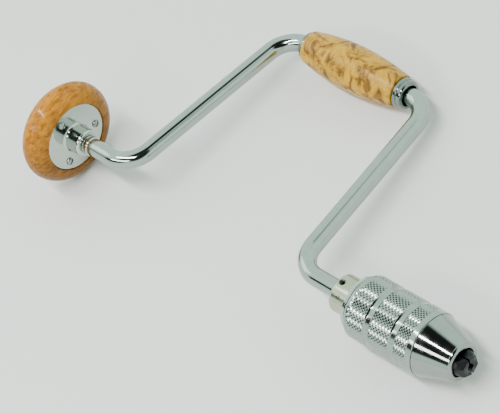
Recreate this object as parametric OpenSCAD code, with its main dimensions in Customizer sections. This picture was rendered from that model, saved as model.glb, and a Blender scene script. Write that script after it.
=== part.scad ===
// Bit brace: a bent steel crank with a turning wooden head, a turning wooden grip
// and a two-jaw shell chuck that closes by screwing its knurled sleeve back.
// The main axis is X, from the head to the chuck. The crank lies in the XY plane with its
// grip on +Y. The origin is on the main axis at the front of the jaws, where a bit goes in.

/* [Crank] */
// Distance from the main axis to the axis of the sweep grip
sweep_r = 127; // [115:1:140]
// Diameter of the bent rod
rod_d = 10.7; // [10:0.1:11.4]
// Radius of the bends, on the rod's centre line
bend_r = 17; // [15:0.5:18]
// Length between the two corners that hold the grip
bow_l = 112; // [110:1:130]
// How far each arm leans along the main axis
arm_lean = 11.6; // [5:0.2:20]
// Length from the lower corner to the chuck's collar
chuck_run = 33.6; // [30:0.2:50]
// Length from the upper corner to the shoulder that carries the head
head_run = 30.8; // [28:0.2:50]
// Diameter of the turned-down journal inside the head
journal_d = 8; // [7:0.1:8.6]

/* [Head] */
// Diameter of the wooden knob
knob_d = 62.6; // [60:0.2:74]
// Thickness of the knob from its front lip to the top of its dome
knob_t = 24; // [22:0.5:30]
// Radius of the knob's rounded rim
rim_r = 9.5; // [8:0.5:10]
// Diameter of the polished plate
plate_d = 42; // [40:0.2:43]
// Thickness of the plate
plate_t = 2; // [1.5:0.1:3]
// Depth of the plate's face below the knob's front lip
plate_sink = 0.8; // [0.5:0.1:1.5]
// Diameter of the plate's hollow boss
boss_d = 16.8; // [16.4:0.1:19]
// Length of the boss in front of the plate
boss_l = 11; // [9:0.5:16]
// Wall of the boss
boss_wall = 2; // [1.5:0.1:2.2]
// Fillet between the plate and the boss
boss_fillet = 1.8; // [1:0.1:2.2]
// Diameter of the ring between the boss and the rod's shoulder
collar_ring_d = 11.8; // [11:0.1:14]
// Length of that ring
collar_ring_l = 4.4; // [3:0.1:8]
// Number of plate screws
screw_count = 3; // [3:1:6]
// Radius of the circle of plate screws
screw_circle = 15.6; // [14.5:0.1:17]
// Diameter of a screw's head
screw_head_d = 4.8; // [4:0.1:5.6]
// Diameter of a screw's shank
screw_d = 3; // [2.5:0.1:3.4]
// Length of a screw's shank
screw_l = 10; // [6:0.5:12]
// Turn of the screws about the main axis
screw_turn = 109; // [0:1:119]

/* [Grip] */
// Length of the wooden barrel
barrel_l = 71; // [60:1:72]
// Diameter of the barrel at its middle
barrel_d = 27.6; // [25:0.1:32]
// Diameter of the barrel at its ends
barrel_end_d = 19.8; // [19.4:0.1:23]
// Outer diameter of the ferrules
ferrule_d = 18.4; // [17.4:0.1:19.4]
// Length of the chuck end's ferrule outside the wood
ferrule_l = 6.6; // [5:0.1:8]
// Length of the head end's ferrule outside the wood
rear_ferrule_l = 2.4; // [2:0.1:4]
// Depth of a ferrule's tube inside the wood
ferrule_in = 8; // [4:0.5:14]
// Wall of a ferrule
ferrule_wall = 1.2; // [0.8:0.1:1.4]

/* [Chuck] */
// Diameter of the spindle's collar
collar_d = 22; // [20:0.1:23]
// Length of the collar that shows behind the sleeve
collar_l = 13.2; // [12:0.1:22]
// Diameter of the knurled sleeve
sleeve_d = 36.9; // [36.4:0.1:42]
// Length of the sleeve
sleeve_l = 49.4; // [48:0.2:62]
// Length of the stepped cap that shows behind the sleeve
cap_l = 2; // [1.6:0.1:4]
// Length of the polished nose in front of the sleeve
nose_l = 20.2; // [19.5:0.1:26]
// Diameter of the nose where its taper ends
nose_d = 23.6; // [23:0.1:27]
// How much smaller in radius the nose starts than the sleeve
nose_step = 0.5; // [0.2:0.1:1]
// Diameter of the mouth that the jaws pass through
mouth_d = 16.6; // [16.2:0.1:17.4]
// Half angle of the cone inside the nose
cone_angle = 12.4; // [11.8:0.1:14]
// Distance from the sleeve's rear to the first groove
first_band = 16; // [14:0.1:18]
// Distance between the grooves along the sleeve
band_pitch = 17.6; // [14:0.1:18.4]
// Width of the smooth grooves between the knurled bands
groove_w = 4.5; // [3:0.1:6]
// Depth of the grooves
groove_deep = 0.8; // [0.4:0.1:1]
// Diameter of the spring pin through the collar
pin_d = 4; // [3:0.1:4.4]
// Distance of the pin from the collar's rear face
pin_in = 3.6; // [3.2:0.1:8]

/* [Jaws] */
// How far the closed jaws stand out of the nose
jaw_out = 5; // [4:0.5:10]
// Width of a jaw
jaw_w = 12; // [11:0.1:13]
// Width across the facets of the closed jaws at their front
tip_w = 10.4; // [9.6:0.1:11]
// Radius of the rounded root of the jaws' grooves
grip_r = 2; // [1.5:0.1:3]
// Length of the grooves
grip_l = 22; // [16:0.5:24]
// Gap between the closed jaws
slit = 1; // [0.6:0.1:1.4]
// Forward travel of the nose when the sleeve is unscrewed
travel = 7.5; // [5:0.5:7.5]

/* [Clearances] */
// Radial clearance of running fits
run_gap = 0.08; // [0.03:0.01:0.1]
// Gap between faces that turn or slide past each other
face_gap = 0.15; // [0.1:0.01:0.3]
// Radial gap between the jaws and the nose
jaw_gap = 0.3; // [0.2:0.05:0.5]
// Clearance of fixed pieces in their seats
seat_gap = 0.02; // [0:0.01:0.05]

/* [Hidden] */

$fn = 96;
// Overrun of cutting shapes
slack = 1;
// Small roundings of turned edges
edge_round = 0.5;
shoulder_round = 1;
sleeve_round = 2.2;
nose_round = 2;
boss_round = 1.4;
cap_round = 0.7;
cup_round = 1.5;

rod_r = rod_d / 2;
collar_r = collar_d / 2;
sleeve_r = sleeve_d / 2;
mouth_r = mouth_d / 2;
journal_r = journal_d / 2;
plate_r = plate_d / 2;
boss_r = boss_d / 2;
knob_r = knob_d / 2;
pin_r = pin_d / 2;
ferrule_r = ferrule_d / 2;

// Stations along the main axis, from the jaws' front to the chuck's collar
x_nose = -jaw_out;
x_seam = x_nose - nose_l;
x_sleeve = x_seam - sleeve_l;
x_cap = x_sleeve - cap_l;
x_collar = x_cap - collar_l;
x_pin = x_collar + pin_in;

// Inside of the chuck, outwards from the jaws
cone_slope = tan(cone_angle);
neck_bore = 12.4;
neck_wall = 1.2;
neck_r = neck_bore + neck_wall;
keeper_step = 2;
cavity_r = neck_r + keeper_step;
hub_r = cavity_r - run_gap;
web_l = 5;
washer_t = 1.5;
keeper_l = 3;
cap_in = 4;
x_web = x_seam - face_gap - web_l;
x_washer = x_web - face_gap - washer_t;
x_keeper = x_washer - keeper_l;

// The spindle's threaded hub has the whole travel free behind it
hub_l = 14;
slot_in = 4;
prong_l = 20;
prong_gap = 1.3;
x_hub = x_sleeve + cap_in + travel + 2 * face_gap;
x_slot = x_hub + hub_l - slot_in;
x_prong = x_hub + hub_l + prong_l;
prong_r = neck_bore - prong_gap;
slot_w = jaw_w + 2 * face_gap;
rod_in = 24;
tang_w = 8;
tang_l = 9;

// Jaws: a straight tail, then a taper that clears the nose's cone at every opening
tail_gap = 0.8;
tail_r = prong_r - tail_gap;
x_taper = x_nose - (tail_r + jaw_gap - mouth_r) / cone_slope;
jaw_open = travel * cone_slope / (x_taper - x_slot);
jaw_slope = cone_slope + jaw_open;
tip_r = tail_r + x_taper * jaw_slope;
relief_r = 4.6;
pivot_y = (relief_r + tail_r) / 2;
knuckle_r = 2.6;
spring_at = 16;
x_spring = x_slot + spring_at;
spring_wire = 0.9;
spring_groove = 1.4;
spring_seat_r = relief_r + 1;

// Crank: the cold bends are a little thicker than the straight runs that end inside them
bend_swell = 0.03;
run_lap = 0.2;
arm_angle = atan2(sweep_r, arm_lean);
bend_in = bend_r * tan(arm_angle / 2);
x_foot = x_collar - chuck_run;
x_bow = x_foot - arm_lean;
x_mid = x_bow - bow_l / 2;
x_head_foot = 2 * x_mid - x_foot;
x_shoulder = x_head_foot - head_run;

// Head, backwards from the rod's shoulder
x_boss = x_shoulder - collar_ring_l - face_gap;
x_plate = x_boss - boss_l;
x_lip = x_plate + plate_sink;
x_plate_back = x_plate - plate_t;
bush_over = 2;
x_bush = x_plate_back - bush_over;
ring_t = 1;
ring_stand = 2.4;
ring_sunk = 0.7;
washer_over = 0.4;
ring_r = journal_r + ring_stand;
ring_groove = journal_r - ring_sunk;
x_end_washer = x_bush - face_gap - ring_t;
x_ring = x_end_washer - seat_gap - ring_t;
journal_tail = 2;
x_journal = x_ring - journal_tail;
bush_r = boss_r - boss_wall;
cavity_room = 1.5;
hollow_r = bush_r + cavity_room;

// Grip
bore_r = rod_r + run_gap;
ferrule_step = 1.6;
cup_step = 0.5;
lip_gap = 1;
x_barrel = x_mid - (barrel_l + ferrule_l - rear_ferrule_l) / 2;
sag = (barrel_d - barrel_end_d) / 2;
barrel_arc = (barrel_l * barrel_l / 4 + sag * sag) / (2 * sag);

// Turns a profile, drawn as radius across and X upwards, about the main axis.
module turned() {
    rotate([0, 90, 0]) rotate_extrude() children();
}

// A rectangle of a profile, between two radii and two stations.
module band(inner, outer, from, to) {
    translate([inner, from]) square([outer - inner, to - from]);
}

// What rounding an outer corner of a profile takes away, at its front or its rear edge.
module corner_cut(r, x, round, rear = false) {
    translate([r, x]) mirror([0, rear ? 1 : 0]) translate([-round, -round]) difference() {
        square(round + slack);
        circle(round);
    }
}

// A hollow fillet that fills the corner in front of a plate and outside a boss.
module fillet(r, x, round) {
    translate([r, x]) difference() {
        square(round);
        translate([round, round]) circle(round);
    }
}

// A round bar through a point of the crank's plane, square to that plane.
module upright(x, y, r, l) {
    translate([x, y, -l / 2]) cylinder(r = r, h = l);
}

// Straight run of rod along X. Its children start where it ends.
module rod_run(l) {
    translate([-run_lap, 0, 0]) rotate([0, 90, 0]) cylinder(r = rod_r, h = l + 2 * run_lap);
    translate([l, 0, 0]) children();
}

// Bend of the rod from X through an angle, to the left if it is positive.
// Its children start where it ends.
module rod_bend(angle) {
    side = sign(angle);
    mirror([0, side < 0 ? 1 : 0, 0]) translate([0, bend_r, 0]) rotate([0, 0, -90])
        rotate_extrude(angle = abs(angle)) translate([bend_r, 0]) circle(rod_r + bend_swell);
    translate([bend_r * sin(abs(angle)), side * bend_r * (1 - cos(angle)), 0])
        rotate([0, 0, angle]) children();
}

// Turned end of the crank: a rounded shoulder and a grooved journal for the head.
module crank_end(l) {
    turned() difference() {
        union() {
            band(0, rod_r, 0, l + run_lap);
            band(0, journal_r, x_journal - x_shoulder, 0);
        }
        corner_cut(rod_r, 0, shoulder_round, true);
        corner_cut(journal_r, x_journal - x_shoulder, edge_round, true);
        translate([0, x_ring - x_shoulder])
            band(ring_groove, journal_r + slack, -seat_gap, ring_t + seat_gap);
    }
    translate([l, 0, 0]) children();
}

// One rod, laid from the head to the chuck as runs and bends end to end.
module crank() {
    arm_l = norm([sweep_r, arm_lean]) - 2 * bend_in;
    color("gainsboro") difference() {
        translate([x_shoulder, 0, 0])
            crank_end(head_run - bend_in)
            rod_bend(arm_angle) rod_run(arm_l)
            rod_bend(-arm_angle) rod_run(bow_l - 2 * bend_in)
            rod_bend(-arm_angle) rod_run(arm_l)
            rod_bend(arm_angle) rod_run(chuck_run - bend_in + rod_in - run_lap);
        upright(x_pin, 0, pin_r, 2 * rod_d);
    }
}

// Outline of the knob: a flat front lip and a rounded rim, then a dome behind the widest line.
module knob_profile() {
    x_wide = x_lip - rim_r;
    difference() {
        band(0, knob_r, x_wide, x_lip);
        corner_cut(knob_r, x_lip, rim_r);
    }
    intersection() {
        translate([0, x_wide]) scale([knob_r, knob_t - rim_r]) circle(1);
        band(0, knob_r + slack, x_wide - knob_t, x_wide);
    }
}

module head_knob() {
    color("peru") difference() {
        turned() difference() {
            knob_profile();
            band(0, plate_r + face_gap, x_plate_back, x_lip + slack);
            band(0, hollow_r, x_journal - cavity_room, x_lip);
        }
        each_screw() cylinder(r = screw_d / 2 + seat_gap, h = plate_t + screw_l + slack);
    }
}

// Places its children at each screw, with their Z axis pointing into the knob from the plate.
module each_screw() {
    for (k = [0 : screw_count - 1])
        rotate([screw_turn + k * 360 / screw_count, 0, 0]) translate([x_plate, screw_circle, 0])
            rotate([0, -90, 0]) children();
}

module head_plate() {
    color("lightgray") difference() {
        turned() difference() {
            union() {
                band(0, plate_r, x_plate_back, x_plate);
                band(0, boss_r, x_plate_back, x_boss);
                fillet(boss_r, x_plate, boss_fillet);
            }
            corner_cut(plate_r, x_plate, edge_round);
            corner_cut(boss_r, x_boss, boss_round);
            band(0, bush_r + seat_gap, x_plate_back - slack, x_boss - boss_wall);
            band(0, journal_r + edge_round, x_plate_back, x_boss + slack);
        }
        each_screw() translate([0, 0, -slack]) cylinder(r = screw_d / 2 + seat_gap, h = plate_t + 2 * slack);
    }
}

// Round-head wood screws: a domed head on the plate and a pointed shank.
module head_screws() {
    head_r = screw_head_d / 2;
    dome_share = 0.36;
    dome_h = dome_share * screw_head_d;
    dome_r = (head_r * head_r + dome_h * dome_h) / (2 * dome_h);
    point_l = screw_d;
    color("silver") each_screw() rotate_extrude() {
        intersection() {
            translate([0, dome_r - dome_h]) circle(dome_r);
            translate([0, -dome_h]) square([head_r, dome_h]);
        }
        band(0, screw_d / 2, 0, plate_t + screw_l - point_l);
        translate([0, plate_t + screw_l - point_l]) polygon([[0, 0], [screw_d / 2, 0], [0, point_l]]);
    }
}

module head_bush() {
    color("darkgoldenrod") turned() difference() {
        band(journal_r + run_gap, bush_r, x_bush, x_boss - boss_wall - seat_gap);
        corner_cut(bush_r, x_bush, edge_round, true);
    }
}

module thrust_collar() {
    collar_ring_r = collar_ring_d / 2;
    x0 = x_shoulder - collar_ring_l;
    color("lightgray") turned() difference() {
        band(journal_r + seat_gap, collar_ring_r, x0, x_shoulder);
        corner_cut(collar_ring_r, x0, edge_round, true);
        corner_cut(collar_ring_r, x_shoulder, edge_round);
    }
}

module end_washer() {
    color("silver") turned()
        band(journal_r + seat_gap, ring_r + washer_over, x_end_washer, x_end_washer + ring_t);
}

// Open retaining ring snapped into the journal's groove.
module retaining_ring() {
    opening = 50;
    color("dimgray") rotate([0, 90, 0]) rotate_extrude(angle = 360 - opening)
        band(ring_groove + seat_gap, ring_r, x_ring, x_ring + ring_t);
}

// The bow's own line is the grip's axis.
module on_grip_axis() {
    translate([0, sweep_r, 0]) children();
}

module grip_barrel() {
    tube_r = ferrule_tube_r();
    color("burlywood") on_grip_axis() turned() difference() {
        intersection() {
            band(0, barrel_d, x_barrel, x_barrel + barrel_l);
            translate([barrel_d / 2 - barrel_arc, x_barrel + barrel_l / 2]) circle(barrel_arc, $fn = 720);
        }
        band(0, bore_r, x_barrel - slack, x_barrel + barrel_l + slack);
        for (end = [x_barrel - slack, x_barrel + barrel_l - ferrule_in])
            band(0, tube_r + seat_gap, end, end + ferrule_in + slack);
    }
}

// Outer radius of the ferrule's tube, which sits in the barrel's counterbore.
function ferrule_tube_r() = ferrule_r - ferrule_step;

// Stepped ferrule: a tube in the wood, a plain ring against it and a rounded cup in front.
// It is drawn at the chuck end, with its wood face at zero.
module ferrule(l) {
    tube_r = ferrule_tube_r();
    ring_l = l / 2;
    lip_r = rod_r + lip_gap;
    cup_r = ferrule_r - cup_step;
    turned() difference() {
        union() {
            band(0, tube_r, -ferrule_in + seat_gap, ring_l);
            band(0, ferrule_r, 0, ring_l);
            band(0, cup_r, ring_l, l);
        }
        corner_cut(ferrule_r, ring_l, edge_round);
        corner_cut(cup_r, l, min(cup_round, ring_l / 2));
        band(0, tube_r - ferrule_wall, -ferrule_in - slack, l - ferrule_wall);
        band(0, lip_r, 0, l + slack);
    }
}

module ferrule_chuck_end() {
    color("gainsboro") on_grip_axis() translate([x_barrel + barrel_l, 0, 0]) ferrule(ferrule_l);
}

module ferrule_head_end() {
    color("gainsboro") on_grip_axis() translate([x_barrel, 0, 0]) mirror([1, 0, 0])
        ferrule(rear_ferrule_l);
}

// Spindle: a collar on the crank's end, a threaded hub and two prongs that hold the jaws' tails.
module chuck_spindle() {
    color("lightgoldenrodyellow") difference() {
        turned() difference() {
            union() {
                band(0, collar_r, x_collar, x_hub + hub_l);
                band(0, hub_r, x_hub, x_hub + hub_l);
                band(0, prong_r, x_hub + hub_l, x_prong);
            }
            corner_cut(collar_r, x_collar, cup_round, true);
            corner_cut(hub_r, x_hub, shoulder_round, true);
            corner_cut(hub_r, x_hub + hub_l, shoulder_round);
            corner_cut(prong_r, x_prong, shoulder_round);
            band(0, rod_r + seat_gap, x_collar - slack, x_collar + rod_in + seat_gap);
        }
        upright(x_pin, 0, pin_r, 2 * collar_d);
        translate([x_slot, -cavity_r, -slot_w / 2]) cube([x_prong - x_slot + slack, 2 * cavity_r, slot_w]);
        translate([x_slot - tang_l, -tang_w / 2, -tang_w / 2]) cube([tang_l + slack, tang_w, tang_w]);
        for (side = [-1, 1])
            upright(x_slot, side * pivot_y, knuckle_r + run_gap, slot_w);
    }
}

// Slotted spring pin, sunk a little below the collar at both ends.
module roll_pin() {
    sunk = 0.8;
    wall = 0.6;
    pin_l = collar_d - 2 * sunk;
    color("dimgray") translate([x_pin, 0, 0]) difference() {
        upright(0, 0, pin_r - seat_gap, pin_l);
        upright(0, 0, pin_r - wall, pin_l + slack);
        translate([0, -wall / 2, -pin_l]) cube([pin_d, wall, 2 * pin_l]);
    }
}

// Outside of the knurled sleeve: three bands parted by two shallow grooves.
module sleeve_profile() {
    x_front = x_seam - face_gap;
    difference() {
        band(0, sleeve_r, x_sleeve, x_front);
        corner_cut(sleeve_r, x_sleeve, sleeve_round, true);
        corner_cut(sleeve_r, x_front, edge_round);
        for (k = [0, 1])
            groove(x_sleeve + first_band + band_pitch * k);
    }
}

// Shallow groove of a profile with sloping sides.
module groove(x) {
    floor_r = sleeve_r - groove_deep;
    polygon([[sleeve_r + slack, x - slack], [floor_r, x + groove_deep],
             [floor_r, x + groove_w - groove_deep], [sleeve_r + slack, x + groove_w + slack]]);
}

module chuck_sleeve() {
    color("silver") turned() difference() {
        sleeve_profile();
        band(0, cavity_r, x_sleeve - slack, x_web);
        band(0, neck_r + run_gap, x_web - slack, x_seam + slack);
    }
}

// Stepped cap that closes the sleeve behind and stops it on the spindle's hub.
module sleeve_cap() {
    step_r = cavity_r - edge_round;
    lip_r = (cavity_r + collar_r) / 2;
    color("gainsboro") turned() difference() {
        union() {
            band(0, cavity_r - seat_gap, x_sleeve, x_sleeve + cap_in);
            band(0, step_r, x_sleeve - cap_l / 2, x_sleeve);
            band(0, lip_r, x_cap, x_sleeve);
        }
        corner_cut(step_r, x_sleeve - cap_l / 2, cap_round, true);
        corner_cut(lip_r, x_cap, cap_round, true);
        band(0, collar_r + 2 * face_gap, x_cap - slack, x_sleeve + cap_in + slack);
    }
}

// Polished nose with a neck through the sleeve's web and a cone inside that closes the jaws.
module nose_cone() {
    seam_r = sleeve_r - nose_step;
    cone_l = (neck_bore - mouth_r) / cone_slope;
    color("gainsboro") turned() difference() {
        union() {
            polygon([[0, x_seam], [seam_r, x_seam],
                     [nose_d / 2, x_nose - nose_round], [0, x_nose - nose_round]]);
            band(0, nose_d / 2, x_nose - nose_round, x_nose);
            band(0, neck_r, x_keeper, x_seam);
        }
        corner_cut(nose_d / 2, x_nose, nose_round);
        polygon([[0, x_nose + slack], [mouth_r, x_nose + slack], [mouth_r, x_nose],
                 [neck_bore, x_nose - cone_l], [neck_bore, x_keeper - slack], [0, x_keeper - slack]]);
    }
}

module nose_keeper() {
    color("dimgray") turned() band(neck_r + seat_gap, cavity_r - 2 * face_gap, x_keeper, x_washer);
}

module thrust_washer() {
    color("darkgoldenrod") turned()
        band(neck_r + run_gap, cavity_r - 2 * face_gap, x_washer, x_washer + washer_t);
}

// Side view of the jaw on +Y: a round tail knuckle, a short neck and the body.
module jaw_side() {
    neck_l = 1.4;
    neck_w = 1.6 * knuckle_r;
    translate([x_slot, pivot_y]) circle(knuckle_r);
    translate([x_slot, pivot_y - neck_w / 2]) square([neck_l + slack, neck_w]);
    translate([x_slot + neck_l, slit / 2]) square([-x_slot - neck_l, 2 * tail_r]);
}

// Section of the groove that the two jaws share: a V with its root rounded about the main axis.
module grip_section() {
    touch = grip_r * sqrt(0.5);
    circle(grip_r);
    polygon([[-2 * touch, 0], [-touch, touch], [touch, touch], [2 * touch, 0], [touch, -touch],
             [-touch, -touch]]);
}

// What grinding flat facets on the outside of a jaw's tip takes away, from its front to the nose.
module tip_facets() {
    facet_step = 60;
    facet_lean = atan((tip_r - tip_w / 2) / jaw_out + jaw_slope);
    for (k = [-1, 0, 1])
        rotate([k * facet_step, 0, 0]) translate([0, tip_w / 2, 0]) rotate([0, 0, -facet_lean])
            translate([-tail_r, 0, -tail_r]) cube([2 * tail_r, tail_r, 2 * tail_r]);
}

module jaw() {
    difference() {
        intersection() {
            translate([0, 0, -jaw_w / 2]) linear_extrude(jaw_w) jaw_side();
            turned() polygon([[0, x_slot - tail_r], [tail_r, x_slot - tail_r], [tail_r, x_taper],
                              [tip_r, 0], [0, 0]]);
        }
        rotate([0, -90, 0]) translate([0, 0, -slack]) linear_extrude(grip_l + 2 * slack) grip_section();
        tip_facets();
        turned() band(0, relief_r, x_slot - tail_r, -grip_l);
        turned() band(0, spring_seat_r, x_spring - spring_groove / 2, x_spring + spring_groove / 2);
    }
}

module jaw_grip_side() {
    color("black") jaw();
}

module jaw_open_side() {
    color("black") mirror([0, 1, 0]) jaw();
}

// Open wire ring in the jaws' inner groove that spreads them as the nose moves forward.
module jaw_spring() {
    opening = 40;
    color("slategray") rotate([0, 90, 0]) rotate_extrude(angle = 360 - opening)
        translate([spring_seat_r - face_gap - spring_wire / 2, x_spring]) circle(spring_wire / 2);
}

crank();
head_knob();
head_plate();
head_screws();
head_bush();
thrust_collar();
end_washer();
retaining_ring();
grip_barrel();
ferrule_chuck_end();
ferrule_head_end();
chuck_spindle();
roll_pin();
chuck_sleeve();
sleeve_cap();
nose_cone();
nose_keeper();
thrust_washer();
jaw_grip_side();
jaw_open_side();
jaw_spring();
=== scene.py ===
"""Dresses the bit brace: turned wood, a bright bent rod, a knurled chuck and blackened jaws."""
import logging
import math
from abc import ABC, abstractmethod
from dataclasses import dataclass, field
from enum import Enum
from typing import Any, Sequence

import bmesh
import bpy
from bmesh.types import BMesh, BMEdge, BMVert
from bpy.types import Material, Node, NodeSocket, NodeTree
from mathutils import Matrix, Vector


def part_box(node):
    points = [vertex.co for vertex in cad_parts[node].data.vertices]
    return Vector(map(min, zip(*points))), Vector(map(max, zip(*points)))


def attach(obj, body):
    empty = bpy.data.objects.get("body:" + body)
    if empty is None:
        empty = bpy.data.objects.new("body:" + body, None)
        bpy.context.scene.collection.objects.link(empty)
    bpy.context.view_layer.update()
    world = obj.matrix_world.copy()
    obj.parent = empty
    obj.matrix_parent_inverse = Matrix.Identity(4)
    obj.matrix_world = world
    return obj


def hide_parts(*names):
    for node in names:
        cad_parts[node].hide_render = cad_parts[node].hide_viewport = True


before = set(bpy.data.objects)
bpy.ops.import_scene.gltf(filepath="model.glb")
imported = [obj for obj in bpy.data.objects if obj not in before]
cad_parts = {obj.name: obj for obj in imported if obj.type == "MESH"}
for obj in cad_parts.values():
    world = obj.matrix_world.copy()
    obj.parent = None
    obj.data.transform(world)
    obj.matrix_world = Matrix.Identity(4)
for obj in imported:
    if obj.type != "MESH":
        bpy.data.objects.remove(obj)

LOG = logging.getLogger("bit_brace")
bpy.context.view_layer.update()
MM = 0.001
FULL_TURN = 2 * math.pi


class Body(Enum):
    """Bodies of the frame that the pieces ride on."""

    CRANK = "crank"
    HEAD = "head"
    GRIP = "grip"
    NOSE = "nose"
    SLEEVE = "sleeve"
    JAW_GRIP_SIDE = "jaw_grip_side"
    JAW_OPEN_SIDE = "jaw_open_side"


# Finishes

# Sockets of a Mix node: its share, two colours and the mixed colour, two vectors and the mixed vector
SHARE, COLOUR_A, COLOUR_B, MIXED = 0, 6, 7, 2
VECTOR_A, VECTOR_B, MIXED_VECTOR = 4, 5, 1


def linear(colour: str) -> tuple[float, float, float, float]:
    """Turn an sRGB hex colour into linear RGBA.

    Args:
        colour: Six hex digits after a hash.

    Returns:
        Red, green, blue and a full alpha, in linear light.
    """
    parts = [int(colour[i:i + 2], 16) / 255 for i in (1, 3, 5)]
    # The standard's own curve: straight near black, a power above it
    red, green, blue = [p / 12.92 if p <= 0.04045 else ((p + 0.055) / 1.055) ** 2.4 for p in parts]
    return red, green, blue, 1.0


def per_mm(size: float) -> float:
    """Texture scale that makes one feature this many millimetres wide."""
    return 1 / (size * MM)


def add(tree: NodeTree, kind: str, inputs: dict[Any, Any] | None = None, **settings: Any) -> Node:
    """Add one shader node with its settings, values and links.

    Args:
        tree: The node tree that gets the node.
        kind: Blender's name of the node's type, without ShaderNode before it.
        inputs: Values, or sockets to link, by the input's name or number.
        **settings: Properties of the node, set before its inputs.

    Returns:
        The new node.
    """
    made = tree.nodes.new(f"ShaderNode{kind}")
    for name, value in settings.items():
        setattr(made, name, value)
    for name, value in (inputs or {}).items():
        if isinstance(value, NodeSocket):
            tree.links.new(value, made.inputs[name])
        else:
            made.inputs[name].default_value = value
    return made


@dataclass(frozen=True)
class Ramp:
    """How a pattern becomes a share: the value where it starts, where it is full, and what full is."""

    start: float
    full: float
    most: float = 1.0

    @property
    def limits(self) -> dict[str, float]:
        """Limits of the ramp, by the names that a Map Range node gives them."""
        return {"From Min": self.start, "From Max": self.full, "To Max": self.most}


@dataclass(frozen=True)
class Finish(ABC):
    """What a surface is made of and how it was finished."""

    label: str

    def build(self) -> Material:
        """Make the Blender material of this finish.

        Returns:
            The new material, named for what the surface is made of.
        """
        material = bpy.data.materials.new(self.label)
        material.use_nodes = True
        tree = material.node_tree
        tree.nodes.clear()
        shader = add(tree, "BsdfPrincipled")
        add(tree, "OutputMaterial", {"Surface": shader.outputs[0]})
        place = add(tree, "TexCoord").outputs["Object"]
        self.paint(tree, shader, place)
        return material

    @abstractmethod
    def paint(self, tree: NodeTree, shader: Node, place: NodeSocket) -> None:
        """Give the shader its colour, gloss and relief.

        Args:
            tree: The material's node tree.
            shader: The Principled shader.
            place: Object coordinates in metres.
        """

    @staticmethod
    def wire(tree: NodeTree, shader: Node, tone: Node, gloss: Node, bump: Node) -> None:
        """Link the three nodes that a finish ends in to the shader.

        Args:
            tree: The material's node tree.
            shader: The Principled shader.
            tone: The Mix node that gives the colour.
            gloss: The node that gives the roughness.
            bump: The Bump node that gives the relief.
        """
        tree.links.new(tone.outputs[MIXED], shader.inputs["Base Color"])
        tree.links.new(gloss.outputs[0], shader.inputs["Roughness"])
        tree.links.new(bump.outputs[0], shader.inputs["Normal"])


@dataclass(frozen=True)
class BrightMetal(Finish):
    """Polished or plated metal: a clear mirror, a little wavy, with faint wipe marks in its gloss."""

    colour: str = "#9da4a0"
    stain: str = "#8a928e"
    roughness: float = 0.08
    haze: float = 0.08
    wave_mm: float = 14.0
    wave_deep_mm: float = 0.012
    mark_mm: float = 5.0
    mark_share: Ramp = Ramp(0.35, 0.75)

    def paint(self, tree: NodeTree, shader: Node, place: NodeSocket) -> None:
        """See Finish.paint."""
        marks = add(tree, "TexNoise", {"Vector": place, "Scale": per_mm(self.mark_mm), "Detail": 6.0,
                                       "Roughness": 0.65})
        wave = add(tree, "TexNoise", {"Vector": place, "Scale": per_mm(self.wave_mm), "Detail": 1.0})
        tone = add(tree, "Mix", {SHARE: marks.outputs[0], COLOUR_A: linear(self.colour),
                                 COLOUR_B: linear(self.stain)}, data_type="RGBA")
        gloss = add(tree, "MapRange", {"Value": marks.outputs[0], **self.mark_share.limits,
                                       "To Min": self.roughness, "To Max": self.roughness + self.haze})
        bump = add(tree, "Bump", {"Height": wave.outputs[0], "Strength": 1.0,
                                  "Distance": self.wave_deep_mm * MM})
        shader.inputs["Metallic"].default_value = 1.0
        self.wire(tree, shader, tone, gloss, bump)


@dataclass(frozen=True)
class BlackOxide(Finish):
    """Hot-blackened steel: nearly black and satin, greyer where it rubs, with a fine blasted grain."""

    colour: str = "#16181a"
    worn: str = "#555a5d"
    metallic: float = 0.75
    roughness: float = 0.32
    roughness_swing: float = 0.12
    # Coarser than a real blasted grain, which would be too fine to show
    grain_mm: float = 0.5
    grain_deep_mm: float = 0.02
    grain_strength: float = 0.6
    rub_mm: float = 6.0
    rub_share: Ramp = Ramp(0.5, 0.8)

    def paint(self, tree: NodeTree, shader: Node, place: NodeSocket) -> None:
        """See Finish.paint."""
        grain = add(tree, "TexNoise", {"Vector": place, "Scale": per_mm(self.grain_mm), "Detail": 2.0})
        rub = add(tree, "TexNoise", {"Vector": place, "Scale": per_mm(self.rub_mm), "Detail": 5.0})
        share = add(tree, "MapRange", {"Value": rub.outputs[0], **self.rub_share.limits})
        tone = add(tree, "Mix", {SHARE: share.outputs[0], COLOUR_A: linear(self.colour),
                                 COLOUR_B: linear(self.worn)}, data_type="RGBA")
        gloss = add(tree, "MapRange", {"Value": rub.outputs[0],
                                       "To Min": self.roughness + self.roughness_swing,
                                       "To Max": self.roughness - self.roughness_swing})
        bump = add(tree, "Bump", {"Height": grain.outputs[0], "Strength": self.grain_strength,
                                  "Distance": self.grain_deep_mm * MM})
        shader.inputs["Metallic"].default_value = self.metallic
        self.wire(tree, shader, tone, gloss, bump)


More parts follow.
